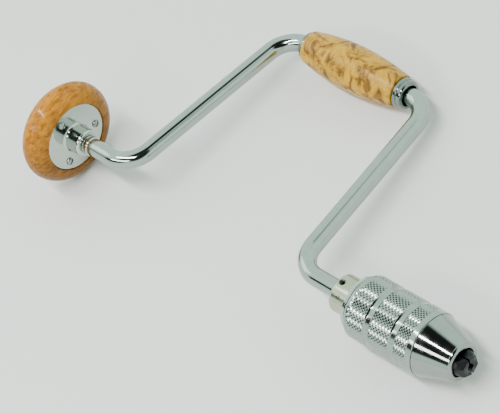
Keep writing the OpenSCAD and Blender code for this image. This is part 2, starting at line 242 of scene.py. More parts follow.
@dataclass(frozen=True)
class Varnished(Finish):
    """Wood under clear varnish, with pores that still show as fine relief below the gloss."""

    coat: float = 0.35
    coat_roughness: float = 0.1
    coat_ior: float = 1.36
    wood_specular: float = 0.1
    wood_roughness: tuple[float, float] = (0.3, 0.5)
    relief: float = 0.25
    relief_mm: float = 0.03

    def varnish(self, tree: NodeTree, shader: Node, tone: Node, figure: Node, pores: Node) -> None:
        """Give the shader the wood's colour and lay the varnish over it.

        Args:
            tree: The material's node tree.
            shader: The Principled shader.
            tone: The Mix node that gives the wood's colour.
            figure: The pattern that the wood's gloss follows.
            pores: The pattern that its relief follows.
        """
        smooth, rough = self.wood_roughness
        gloss = add(tree, "MapRange", {"Value": figure.outputs[0], "To Min": smooth, "To Max": rough})
        bump = add(tree, "Bump", {"Height": pores.outputs[0], "Strength": self.relief,
                                  "Distance": self.relief_mm * MM})
        shader.inputs["Specular IOR Level"].default_value = self.wood_specular
        shader.inputs["Coat Weight"].default_value = self.coat
        shader.inputs["Coat Roughness"].default_value = self.coat_roughness
        shader.inputs["Coat IOR"].default_value = self.coat_ior
        self.wire(tree, shader, tone, gloss, bump)


@dataclass(frozen=True)
class VarnishedWood(Varnished):
    """Side-grain hardwood under honey varnish: streaks, short dark pores, painted shade that darkens it
    towards the bottom, and a glossy coat.
    """

    light: str = "#c8831c"
    dark: str = "#90560e"
    pore: str = "#4a2806"
    # Painted shade: a tone that darkens the wood towards the bottom, and where along Z the darkening starts
    # and ends
    painted_shade: str = "#b2b2b2"
    painted_shade_from_mm: float = 28.0
    painted_shade_to_mm: float = -14.0
    lean_deg: float = 46.0
    stretch: float = 2.8
    streak_mm: float = 2.5
    streak_share: Ramp = Ramp(0.36, 0.64)
    # Wider than real pores, which would be too fine to show
    pore_mm: float = 1.2
    pore_share: Ramp = Ramp(0.56, 0.72, 0.8)

    def paint(self, tree: NodeTree, shader: Node, place: NodeSocket) -> None:
        """See Finish.paint."""
        along = add(tree, "Mapping", {"Vector": place, "Rotation": (math.radians(-self.lean_deg), 0, 0),
                                      "Scale": (1, 1 / self.stretch, 1)})
        streak = add(tree, "TexNoise", {"Vector": along.outputs[0], "Scale": per_mm(self.streak_mm),
                                        "Detail": 5.0, "Roughness": 0.6, "Distortion": 0.4})
        fleck = add(tree, "TexNoise", {"Vector": along.outputs[0], "Scale": per_mm(self.pore_mm),
                                       "Detail": 3.0, "Roughness": 0.6})
        share = add(tree, "MapRange", {"Value": streak.outputs[0], **self.streak_share.limits})
        tone = add(tree, "Mix", {SHARE: share.outputs[0], COLOUR_A: linear(self.light),
                                 COLOUR_B: linear(self.dark)}, data_type="RGBA")
        pores = add(tree, "MapRange", {"Value": fleck.outputs[0], **self.pore_share.limits})
        spotted = add(tree, "Mix", {SHARE: pores.outputs[0], COLOUR_A: tone.outputs[MIXED],
                                    COLOUR_B: linear(self.pore)}, data_type="RGBA")
        # Painted shade: the wood is multiplied darker towards the bottom along Z
        across = add(tree, "SeparateXYZ", {0: place})
        painted_shade = add(tree, "MapRange", {"Value": across.outputs["Z"], "From Min": self.painted_shade_from_mm * MM,
                                       "From Max": self.painted_shade_to_mm * MM})
        shaded = add(tree, "Mix", {SHARE: painted_shade.outputs[0], COLOUR_A: spotted.outputs[MIXED],
                                   COLOUR_B: linear(self.painted_shade)}, data_type="RGBA", blend_type="MULTIPLY")
        self.varnish(tree, shader, shaded, streak, fleck)


@dataclass(frozen=True)
class BurlWood(Varnished):
    """Varnished burl: pale tan ground, brown swirls round dark eyes, fine flecks and a glossy coat."""

    coat: float = 0.4
    coat_roughness: float = 0.3
    coat_ior: float = 1.4
    light: str = "#c89828"
    mid: str = "#a87821"
    dark: str = "#5a390c"
    eye: str = "#2e1c05"
    swirl_mm: float = 22.0
    drift_share: float = 0.012
    mid_share: Ramp = Ramp(0.4, 0.56)
    dark_share: Ramp = Ramp(0.5, 0.62, 0.9)
    eye_mm: float = 26.0
    eye_share: Ramp = Ramp(0.2, 0.08)
    # Growth rings round an eye: their spacing as a part of eye_mm, the line in each, and how far they reach
    ring: float = 0.045
    ring_line: tuple[float, float] = (0.55, 0.9)
    ring_share: Ramp = Ramp(0.4, 0.16, 0.7)
    # Wider than real flecks, which would be too fine to show
    fleck_mm: float = 1.2
    fleck_share: Ramp = Ramp(0.55, 0.75, 0.45)

    def paint(self, tree: NodeTree, shader: Node, place: NodeSocket) -> None:
        """See Finish.paint."""
        drift = add(tree, "TexNoise", {"Vector": place, "Scale": per_mm(self.swirl_mm), "Detail": 3.0})
        bent = add(tree, "Mix", {SHARE: self.drift_share, VECTOR_A: place, VECTOR_B: drift.outputs[1]},
                   data_type="VECTOR").outputs[MIXED_VECTOR]
        swirl = add(tree, "TexNoise", {"Vector": bent, "Scale": per_mm(self.swirl_mm / 2),
                                       "Detail": 5.0, "Roughness": 0.62, "Distortion": 1.6})
        cells = add(tree, "TexVoronoi", {"Vector": bent, "Scale": per_mm(self.eye_mm)}, feature="F1")
        fleck = add(tree, "TexNoise", {"Vector": place, "Scale": per_mm(self.fleck_mm), "Detail": 3.0})
        saw = add(tree, "Math", {0: cells.outputs[0], 1: self.ring}, operation="PINGPONG")
        line_from, line_to = self.ring_line
        line = add(tree, "MapRange", {"Value": saw.outputs[0], "From Min": self.ring * line_from,
                                      "From Max": self.ring * line_to})
        fade = add(tree, "MapRange", {"Value": cells.outputs[0], **self.ring_share.limits})
        rings = add(tree, "Math", {0: line.outputs[0], 1: fade.outputs[0]}, operation="MULTIPLY")
        share = add(tree, "MapRange", {"Value": swirl.outputs[0], **self.mid_share.limits})
        deep = add(tree, "MapRange", {"Value": swirl.outputs[0], **self.dark_share.limits})
        near = add(tree, "MapRange", {"Value": cells.outputs[0], **self.eye_share.limits})
        dust = add(tree, "MapRange", {"Value": fleck.outputs[0], **self.fleck_share.limits})
        tone = add(tree, "Mix", {SHARE: share.outputs[0], COLOUR_A: linear(self.light),
                                 COLOUR_B: linear(self.mid)}, data_type="RGBA")
        for layer, colour in ((deep, self.dark), (near, self.eye), (rings, self.dark), (dust, self.dark)):
            tone = add(tree, "Mix", {SHARE: layer.outputs[0], COLOUR_A: tone.outputs[MIXED],
                                     COLOUR_B: linear(colour)}, data_type="RGBA")
        self.varnish(tree, shader, tone, swirl, fleck)


@dataclass(frozen=True)
class PaperFloor(Finish):
    """Matt pale paper sweep with a barely visible tooth."""

    colour: str = "#e6e6e4"
    shade: str = "#e0dfdd"
    roughness: float = 0.9
    specular: float = 0.2
    # Coarser than real paper's tooth, which would be too fine to show
    tooth_mm: float = 1.5

    def paint(self, tree: NodeTree, shader: Node, place: NodeSocket) -> None:
        """See Finish.paint."""
        tooth = add(tree, "TexNoise", {"Vector": place, "Scale": per_mm(self.tooth_mm), "Detail": 2.0})
        tone = add(tree, "Mix", {SHARE: tooth.outputs[0], COLOUR_A: linear(self.colour),
                                 COLOUR_B: linear(self.shade)}, data_type="RGBA")
        shader.inputs["Roughness"].default_value = self.roughness
        shader.inputs["Specular IOR Level"].default_value = self.specular
        tree.links.new(tone.outputs[MIXED], shader.inputs["Base Color"])


class Slot(Enum):
    """Material slots of the record, each with the finish that it gets."""

    # Chrome on a drawn and bent rod: a cool mirror whose slow waves bend the reflections along it
    CHROME = ("chrome", BrightMetal("chrome_plate_on_bent_rod", colour="#a9b3ad", stain="#97a19b"))
    # Chrome on turned steel: paler and truer, because the lathe leaves less wave
    CHROME_PLATE = ("chrome_plate", BrightMetal("chrome_plate_on_turned_steel", colour="#c0c8c1",
                                                stain="#b0b8b1", wave_deep_mm=0.006))
    # Chrome that hands have worn: darker, and uneven in tone
    FERRULE_CHROME = ("chrome_plate", BrightMetal("worn_chrome_plate", colour="#8d9590", stain="#69716c"))
    # Zinc on small steel screws: a softer, greyer shine
    SCREW_STEEL = ("screw_steel", BrightMetal("zinc_plated_steel", roughness=0.18, haze=0.12))
    # Bronze as the lathe leaves it: warm brown with blurred reflections
    BRONZE = ("bronze", BrightMetal("turned_bronze", colour="#b98a4a", stain="#8a6030",
                                    roughness=0.3, haze=0.15))
    # Bare turned steel: neutral grey with blurred reflections
    INNER_STEEL = ("inner_steel", BrightMetal("turned_steel", colour="#9a9c9e", stain="#77797b",
                                              roughness=0.3, haze=0.15))
    # Hard-drawn wire: darker and bluer than turned steel
    SPRING_STEEL = ("spring_steel", BrightMetal("spring_steel_wire", colour="#7d8288", stain="#5c6066",
                                                roughness=0.28, haze=0.12))
    # Nickel plate gone dull: pale, yellowish and half blurred beside the chrome
    PALE_NICKEL = ("pale_nickel", BrightMetal("pale_nickel_plate", colour="#b9bca6", stain="#a4a88f",
                                              roughness=0.16, haze=0.12))
    # Plated knurl: every facet is a small mirror, so the bands sparkle
    KNURLED_STEEL = ("knurled_steel", BrightMetal("knurled_plated_steel", colour="#a2aca7", stain="#8d9792",
                                                  roughness=0.1, haze=0.08, wave_deep_mm=0.004))
    # Polished and plated taper: the clearest mirror, with long sharp stripes
    POLISHED_STEEL = ("polished_steel", BrightMetal("polished_plated_steel", roughness=0.06,
                                                    wave_deep_mm=0.004))
    # Blackened steel: dark facets with a satin edge to each
    BLACK_OXIDE = ("black_oxide", BlackOxide("black_oxide_on_steel"))
    # Varnished hardwood: honey brown with short dark dashes of grain under a gloss
    VARNISHED_WOOD = ("varnished_wood", VarnishedWood("varnished_hardwood"))
    # Varnished burl: tan with dark swirls and eyes under a softer gloss
    BURL_WOOD = ("burl_wood", BurlWood("varnished_burl"))

    def __init__(self, key: str, finish: Finish) -> None:
        """Keep the record's name of the slot and its finish."""
        self.key = key
        self.finish = finish


class Wardrobe:
    """The materials of the scene, each made once."""

    def __init__(self) -> None:
        """Start with no material made."""
        self.made: dict[Slot, Material] = {}

    def get(self, slot: Slot) -> Material:
        """Find the material of a slot, and make it at its first use.

        Args:
            slot: The record's slot.

        Returns:
            Its material.
        """
        if slot not in self.made:
            self.made[slot] = slot.finish.build()
        return self.made[slot]


WARDROBE = Wardrobe()


# Shapes and how they are shown


@dataclass(frozen=True)
class Extent:
    """Where a turned node is, in millimetres: its two ends, its radius and its axis."""

    rear: float
    front: float
    radius: float
    axis_y: float

    @classmethod
    def of(cls, node: str) -> "Extent":
        """Measure a node of the frame."""
        low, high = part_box(node)
        return cls(low.x / MM, high.x / MM, (high.z - low.z) / 2 / MM, (low.y + high.y) / 2 / MM)


@dataclass(frozen=True)
class Corner:
    """Corner of a turned outline, in millimetres.

    A corner with a round is cut back that far along both its sides; a swept one uses up the whole
    of both its sides, which draws a quarter of an ellipse.
    """

    radius: float
    x: float
    round: float = 0.0
    swept: bool = False


ROUND_STEPS = 5
SWEPT_STEPS = 20
# A whole side in percent, a hair short so that its far end stays a point of its own
SWEPT_PERCENT = 99.9
TURN_STEPS = 128
SHARP_DEG = 32.0
# Distances in metres within which points are one, on a new mesh and on a copy of a solid
WELD = 1e-7
SOLID_WELD = 1e-6
# Faces of a solid that turn less than this are one flat face
FLAT_DEG = 0.5


def outline(corners: Sequence[Corner], closed: bool = False) -> BMesh:
    """Draw half a section in the XZ plane and round its corners.

    Args:
        corners: The corners in order.
        closed: True for a ring, whose last corner joins the first.

    Returns:
        A bmesh of edges.
    """
    bm = bmesh.new()
    points = [bm.verts.new((c.x * MM, 0, c.radius * MM)) for c in corners]
    for one, other in zip(points, points[1:] + points[:1] if closed else points[1:]):
        bm.edges.new((one, other))
    for corner, point in zip(corners, points):
        if corner.swept:
            bmesh.ops.bevel(bm, geom=[point], offset=SWEPT_PERCENT, offset_type="PERCENT",
                            segments=SWEPT_STEPS, profile=0.5, affect="VERTICES", material=-1)
        elif corner.round:
            bmesh.ops.bevel(bm, geom=[point], offset=corner.round * MM, offset_type="OFFSET",
                            segments=ROUND_STEPS, profile=0.5, affect="VERTICES", material=-1)
    return bm


def turn(bm: BMesh, axis_y: float = 0.0, steps: int = TURN_STEPS) -> BMesh:
    """Spin an outline once about the X axis, close it and move it to its own axis.

    Args:
        bm: The outline.
        axis_y: Where the axis is, in millimetres along Y.
        steps: Faces round the axis.

    Returns:
        The same bmesh, now a closed turned piece.
    """
    bmesh.ops.spin(bm, geom=bm.verts[:] + bm.edges[:], cent=(0, 0, 0), axis=(1, 0, 0), dvec=(0, 0, 0),
                   angle=FULL_TURN, steps=steps, use_merge=True, use_duplicate=False)
    bmesh.ops.remove_doubles(bm, verts=bm.verts, dist=WELD)
    bmesh.ops.recalc_face_normals(bm, faces=bm.faces)
    bmesh.ops.translate(bm, verts=bm.verts, vec=(0, axis_y * MM, 0))
    return bm


def show(bm: BMesh, name: str, body: Body, slot: Slot, node: str, sharp_deg: float = SHARP_DEG) -> None:
    """Make an object of a bmesh, dress it and let it stand for a CAD node.

    Args:
        bm: The finished shape, which is freed.
        name: Name of the piece.
        body: The body that it rides on.
        slot: The record's slot that it takes its finish from.
        node: The CAD node that it stands for.
        sharp_deg: Edges that turn more than this stay sharp.
    """
    for face in bm.faces:
        face.smooth = True
    for edge in bm.edges:
        edge.smooth = edge.is_manifold and edge.calc_face_angle(0.0) < math.radians(sharp_deg)
    mesh = bpy.data.meshes.new(name)
    bm.to_mesh(mesh)
    bm.free()
    mesh.materials.append(WARDROBE.get(slot))
    piece = bpy.data.objects.new(name, mesh)
    bpy.context.scene.collection.objects.link(piece)
    piece.modifiers.new("even_shading", "WEIGHTED_NORMAL").keep_sharp = True
    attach(piece, body.value)
    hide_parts(node)
    LOG.info("piece %s on %s: %d faces", name, body.value, len(mesh.polygons))


def solid_copy(node: str) -> BMesh:
    """Copy a CAD node's mesh with its loose triangles welded and its flat faces made whole.

    Args:
        node: The CAD node, which stays as it is.

    Returns:
        The copy.
    """
    bm = bmesh.new()
    bm.from_mesh(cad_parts[node].data)
    bmesh.ops.remove_doubles(bm, verts=bm.verts, dist=SOLID_WELD)
    bmesh.ops.dissolve_limit(bm, angle_limit=math.radians(FLAT_DEG), verts=bm.verts, edges=bm.edges)
    return bm


def dress(node: str, slot: Slot) -> None:
    """Give a CAD node that stands for itself its finish.

    Args:
        node: The CAD node.
        slot: The record's slot that it takes its finish from.
    """
    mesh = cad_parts[node].data
    mesh.materials.clear()
    mesh.materials.append(WARDROBE.get(slot))
    LOG.info("node %s keeps its solid", node)


# Sub-assemblies


@dataclass
class Crank:
    """The bent rod, laid as runs and bends from the head to the chuck. Sizes in millimetres."""

    rod_r: float = 5.35
    journal_r: float = 4.0
    shoulder_round: float = 1.0
    bend_r: float = 17.0
    sweep_r: float = 127.0
    bow_l: float = 112.0
    arm_lean: float = 11.6
    head_run: float = 30.8
    chuck_run: float = 33.6
    rod_in: float = 24.0
    round_steps: int = 64
    bend_steps: int = 28
    rear: float = field(init=False)
    shoulder: float = field(init=False)

    def __post_init__(self) -> None:
        """Read the rod's ends from the frame."""
        self.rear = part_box("crank")[0].x / MM
        self.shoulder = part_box("thrust_collar")[1].x / MM

    def build(self) -> None:
        """Model the rod and show it."""
        bm = bmesh.new()
        start = Matrix.Translation((self.rear * MM, 0, 0)) @ Matrix.Rotation(math.pi / 2, 4, "Y")
        bmesh.ops.create_circle(bm, segments=self.round_steps, radius=self.journal_r * MM, matrix=start)
        bmesh.ops.edgeloop_fill(bm, edges=bm.edges[:])
        loop = self.run(bm, bm.edges[:], self.shoulder - self.rear, 0.0)
        # The shoulder steps out and rounds over to the rod's full radius
        loop = self.run(bm, loop, 0.0, 0.0)
        self.widen(bm, loop, (self.rod_r - self.shoulder_round) / self.journal_r)
        for k in range(1, ROUND_STEPS + 1):
            turn_now = k / ROUND_STEPS * math.pi / 2
            before = (k - 1) / ROUND_STEPS * math.pi / 2
            radius = self.rod_r - self.shoulder_round * (1 - math.sin(turn_now))
            radius_before = self.rod_r - self.shoulder_round * (1 - math.sin(before))
            loop = self.run(bm, loop, self.shoulder_round * (math.cos(before) - math.cos(turn_now)), 0.0)
            self.widen(bm, loop, radius / radius_before)
        lean = math.atan2(self.sweep_r, self.arm_lean)
        used = self.bend_r * math.tan(lean / 2)
        arm = math.hypot(self.sweep_r, self.arm_lean) - 2 * used
        heading = 0.0
        legs = [(self.head_run - self.shoulder_round - used, lean), (arm, -lean),
                (self.bow_l - 2 * used, -lean), (arm, lean), (self.chuck_run + self.rod_in - used, 0.0)]
        for length, angle in legs:
            loop = self.run(bm, loop, length, heading)
            if angle:
                loop = self.bend(bm, loop, heading, angle)
                heading += angle
        bmesh.ops.edgeloop_fill(bm, edges=loop)
        bmesh.ops.recalc_face_normals(bm, faces=bm.faces)
        show(bm, "crank_rod", Body.CRANK, Slot.CHROME, "crank")

    @staticmethod
    def run(bm: BMesh, loop: list[BMEdge], length: float, heading: float) -> list[BMEdge]:
        """Draw a ring of edges straight on.

        Args:
            bm: The rod so far.
            loop: Its open end.
            length: How far, in millimetres.
            heading: Direction in the crank's plane, in radians from X.

        Returns:
            The new open end.
        """
        step = bmesh.ops.extrude_edge_only(bm, edges=loop)["geom"]
        ahead = Vector((math.cos(heading), math.sin(heading), 0)) * length * MM
        bmesh.ops.translate(bm, verts=[v for v in step if isinstance(v, BMVert)], vec=ahead)
        return [e for e in step if isinstance(e, BMEdge)]

    @staticmethod
    def ring_points(loop: list[BMEdge]) -> list[BMVert]:
        """List the points of a ring of edges, in the same order on every run."""
        return list(dict.fromkeys(v for e in loop for v in e.verts))

    def widen(self, bm: BMesh, loop: list[BMEdge], factor: float) -> None:
        """Scale a ring that is square to X about the main axis."""
        bmesh.ops.scale(bm, verts=self.ring_points(loop), vec=(1, factor, factor))

    def bend(self, bm: BMesh, loop: list[BMEdge], heading: float, angle: float) -> list[BMEdge]:
        """Spin a ring of edges round the inside of a bend.

        Args:
            bm: The rod so far.
            loop: Its open end.
            heading: Direction of the rod there, in radians from X.
            angle: How far it turns, to the left if positive.

        Returns:
            The new open end.
        """
        points = self.ring_points(loop)
        centre = sum((v.co for v in points), Vector()) / len(points)
        side = math.copysign(self.bend_r * MM, angle)
        pivot = centre + Vector((-math.sin(heading), math.cos(heading), 0)) * side
        step = bmesh.ops.spin(bm, geom=points + loop, cent=pivot, axis=(0, 0, 1), dvec=(0, 0, 0),
                              angle=angle, steps=self.bend_steps, use_merge=False, use_duplicate=False)
        return [e for e in step["geom_last"] if isinstance(e, BMEdge)]


@dataclass
class Head:
    """The wooden knob with its plate, screws and ring. Sizes in millimetres."""

    rim_r: float = 9.5
    # The rim's round stops just short of the rim's own end
    rim_share: float = 0.999
    plate_t: float = 2.0
    seat_gap: float = 0.15
    seat_round: float = 0.25
    boss_r: float = 8.4
    boss_wall: float = 2.0
    boss_fillet: float = 1.8
    boss_round: float = 1.4
    boss_mouth: float = 4.5
    mouth_round: float = 0.3
    edge_round: float = 0.5
    hollow_room: float = 1.5
    hollow_back: float = 1.5
    screw_count: int = 3
    screw_circle: float = 15.6
    screw_turn_deg: float = 109.0
    screw_head_r: float = 2.4
    screw_dome: float = 1.73
    screw_r: float = 1.5
    screw_l: float = 10.0
    screw_point: float = 3.0
    screw_steps: int = 48
    slot_w: float = 0.7
    slot_deep: float = 0.8
    slot_turn_deg: tuple[float, ...] = (20.0, 75.0, -35.0)
    ring_bore: float = 4.02
    ring_rear_round: float = 1.2
    ring_front_round: float = 0.7
    knob: Extent = field(default_factory=lambda: Extent.of("head_knob"))
    plate: Extent = field(default_factory=lambda: Extent.of("head_plate"))
    ring: Extent = field(default_factory=lambda: Extent.of("thrust_collar"))

    @property
    def plate_back(self) -> float:
        """Station of the plate's rear face."""
        return self.plate.rear

    @property
    def plate_face(self) -> float:
        """Station of the plate's front face."""
        return self.plate.rear + self.plate_t

    def build(self) -> None:
        """Model the head's pieces and show them."""
        self.build_knob()
        self.build_plate()
        self.build_screws()
        self.build_ring()
        dress("head_bush", Slot.BRONZE)
        dress("end_washer", Slot.INNER_STEEL)
        dress("retaining_ring", Slot.SPRING_STEEL)

    def build_knob(self) -> None:
        """Turn the knob: a dome, a full rim, a narrow lip and the plate's seat."""
        seat = self.plate.radius + self.seat_gap
        hollow = self.boss_r - self.boss_wall + self.hollow_room
        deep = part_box("crank")[0].x / MM - self.hollow_back
        wide = self.knob.front - self.rim_r
        rim = self.knob.radius
        section = [Corner(0, self.knob.rear), Corner(rim, self.knob.rear, swept=True), Corner(rim, wide),
                   Corner(rim, self.knob.front, self.rim_r * self.rim_share),
                   Corner(seat, self.knob.front, self.seat_round), Corner(seat, self.plate_back),
                   Corner(hollow, self.plate_back), Corner(hollow, deep), Corner(0, deep)]
        show(turn(outline(section)), "knob_wood", Body.HEAD, Slot.VARNISHED_WOOD, "head_knob")

    def build_plate(self) -> None:
        """Turn the plate with the fillet and the rounded mouth of its boss."""
        inner = self.boss_r - self.boss_wall
        front = self.plate.front
        section = [Corner(inner, self.plate_back), Corner(self.plate.radius, self.plate_back),
                   Corner(self.plate.radius, self.plate_face, self.edge_round),
                   Corner(self.boss_r, self.plate_face, self.boss_fillet),
                   Corner(self.boss_r, front, self.boss_round),
                   Corner(self.boss_mouth, front, self.mouth_round),
                   Corner(self.boss_mouth, front - self.boss_wall), Corner(inner, front - self.boss_wall)]
        bm = turn(outline(section, closed=True))
        show(bm, "plate_and_boss", Body.HEAD, Slot.CHROME_PLATE, "head_plate")

    def build_screws(self) -> None:
        """Turn one round-head screw at a time, cut its slot and set it on its circle."""
        bm = bmesh.new()
        for k in range(self.screw_count):
            one = self.screw(self.slot_turn_deg[k])
            turn_now = math.radians(self.screw_turn_deg) + k * FULL_TURN / self.screw_count
            place = Matrix.Rotation(turn_now, 4, "X") @ Matrix.Translation(
                Vector((self.plate_face, self.screw_circle, 0)) * MM)
            bmesh.ops.transform(one, matrix=place, verts=one.verts)
            spare = bpy.data.meshes.new("spare")
            one.to_mesh(spare)
            one.free()
            bm.from_mesh(spare)
            bpy.data.meshes.remove(spare)
        show(bm, "plate_screws", Body.HEAD, Slot.SCREW_STEEL, "head_screws")

    def screw(self, slot_deg: float) -> BMesh:
        """Model a screw whose seat is at the origin, pointing back along X.

        Args:
            slot_deg: Turn of its slot.

        Returns:
            The screw.
        """
        tip = -self.plate_t - self.screw_l
        section = [Corner(0, self.screw_dome), Corner(self.screw_head_r, self.screw_dome, swept=True),
                   Corner(self.screw_head_r, 0), Corner(self.screw_r, 0),
                   Corner(self.screw_r, tip + self.screw_point), Corner(0, tip)]
        bm = turn(outline(section), steps=self.screw_steps)
        half = self.slot_w / 2 * MM
        floor = (self.screw_dome - self.slot_deep) * MM
        sides = (((0, half, 0), (0, 1, 0)), ((0, -half, 0), (0, 1, 0)), ((floor, 0, 0), (1, 0, 0)))
        for point, normal in sides:
            bmesh.ops.bisect_plane(bm, geom=bm.verts[:] + bm.edges[:] + bm.faces[:], plane_co=point,
                                   plane_no=normal)
        middles = [(f, f.calc_center_median()) for f in bm.faces]
        strip = [f for f, middle in middles if abs(middle.y) < half and middle.x > floor]
        sunk = bmesh.ops.extrude_face_region(bm, geom=strip)["geom"]
        for low in (v for v in sunk if isinstance(v, BMVert)):
            low.co.x = floor
        bmesh.ops.delete(bm, geom=[f for f in strip if f.is_valid], context="FACES_ONLY")
        bmesh.ops.remove_doubles(bm, verts=bm.verts, dist=WELD)
        bmesh.ops.recalc_face_normals(bm, faces=bm.faces)
        bmesh.ops.rotate(bm, verts=bm.verts, cent=(0, 0, 0),
                         matrix=Matrix.Rotation(math.radians(slot_deg), 3, "X"))
        return bm

    def build_ring(self) -> None:
        """Turn the small ring between the boss and the rod's shoulder."""
        section = [Corner(self.ring_bore, self.ring.rear),
                   Corner(self.ring.radius, self.ring.rear, self.ring_rear_round),
                   Corner(self.ring.radius, self.ring.front, self.ring_front_round),
                   Corner(self.ring_bore, self.ring.front)]
        bm = turn(outline(section, closed=True))
        show(bm, "thrust_ring", Body.CRANK, Slot.CHROME_PLATE, "thrust_collar")


@dataclass
class Grip:
    """The barrel-shaped sweep grip and its two ferrules. Sizes in millimetres."""

    end_r: float = 9.9
    end_break: float = 0.6
    end_steps: int = 3
    bore_r: float = 5.43
    ferrule_in: float = 8.0
    ferrule_step: float = 1.6
    ferrule_wall: float = 1.2
    cup_step: float = 0.5
    cup_round: float = 1.5
    cup_share: float = 0.25
    bead_round: float = 1.2
    bead_share: float = 0.4
    lip_r: float = 6.35
    lip_round: float = 0.3
    seat_gap: float = 0.02
    arc_steps: int = 40
    barrel: Extent = field(default_factory=lambda: Extent.of("grip_barrel"))
    front: Extent = field(default_factory=lambda: Extent.of("ferrule_chuck_end"))
    back: Extent = field(default_factory=lambda: Extent.of("ferrule_head_end"))

    @property
    def tube_r(self) -> float:
        """Outer radius of a ferrule's tube, which sits in the wood."""
        return self.front.radius - self.ferrule_step

    def build(self) -> None:
        """Model the grip's pieces and show them."""
        self.build_barrel()
        self.build_ferrule("ferrule_front", "ferrule_chuck_end", self.barrel.front, self.front.front, 1)
        self.build_ferrule("ferrule_rear", "ferrule_head_end", self.barrel.rear, self.back.rear, -1)

    def build_barrel(self) -> None:
        """Swing the barrel's long arc, add its bore and turn it."""
        rear, front = self.barrel.rear, self.barrel.front
        seat = self.tube_r + self.seat_gap
        half = (front - rear) / 2
        sag = self.barrel.radius - self.end_r
        arc_r = (half * half + sag * sag) / (2 * sag)
        middle = (front + rear) / 2
        bm = bmesh.new()
        first = bm.verts.new((rear * MM, 0, self.end_r * MM))
        swing = bmesh.ops.spin(bm, geom=[first], cent=Vector((middle, 0, self.barrel.radius - arc_r)) * MM,
                               axis=(0, 1, 0), dvec=(0, 0, 0), angle=2 * math.asin(half / arc_r),
                               steps=self.arc_steps, use_merge=False, use_duplicate=False)
        last = next(v for v in swing["geom_last"] if isinstance(v, BMVert))
        inside = [(front, seat), (front - self.ferrule_in, seat), (front - self.ferrule_in, self.bore_r),
                  (rear + self.ferrule_in, self.bore_r), (rear + self.ferrule_in, seat), (rear, seat)]
        points = [last] + [bm.verts.new((x * MM, 0, r * MM)) for x, r in inside] + [first]
        for one, other in zip(points, points[1:]):
            bm.edges.new((one, other))
        bmesh.ops.bevel(bm, geom=[first, last], offset=self.end_break * MM, offset_type="OFFSET",
                        segments=self.end_steps, profile=0.5, affect="VERTICES", material=-1)
        show(turn(bm, self.barrel.axis_y), "grip_wood", Body.GRIP, Slot.BURL_WOOD, "grip_barrel")

    def build_ferrule(self, name: str, node: str, wood: float, end: float, way: int) -> None:
        """Turn a stepped ferrule: a tube in the wood, a beaded ring and a rounded cup.

        Args:
            name: Name of the piece.
            node: The CAD node that it stands for.
            wood: Station of the wood's end face.
            end: Station of the ferrule's outer end.
            way: 1 if it points along X, -1 if it points back.
        """
        outer = self.front.radius
        middle = (wood + end) / 2
        cup = outer - self.cup_step
        cup_round = min(self.cup_round, abs(end - wood) * self.cup_share)
        bead = min(self.bead_round, abs(middle - wood) * self.bead_share)
        inner = self.tube_r - self.ferrule_wall
        deep = wood - way * self.ferrule_in
        floor = end - way * self.ferrule_wall
        section = [Corner(inner, deep), Corner(self.tube_r, deep), Corner(self.tube_r, wood),
                   Corner(outer, wood, bead), Corner(outer, middle, min(bead, self.cup_step)),
                   Corner(cup, middle), Corner(cup, end, cup_round), Corner(self.lip_r, end, self.lip_round),
                   Corner(self.lip_r, floor), Corner(inner, floor)]
        bm = turn(outline(section, closed=True), self.barrel.axis_y)
        show(bm, name, Body.GRIP, Slot.FERRULE_CHROME, node)


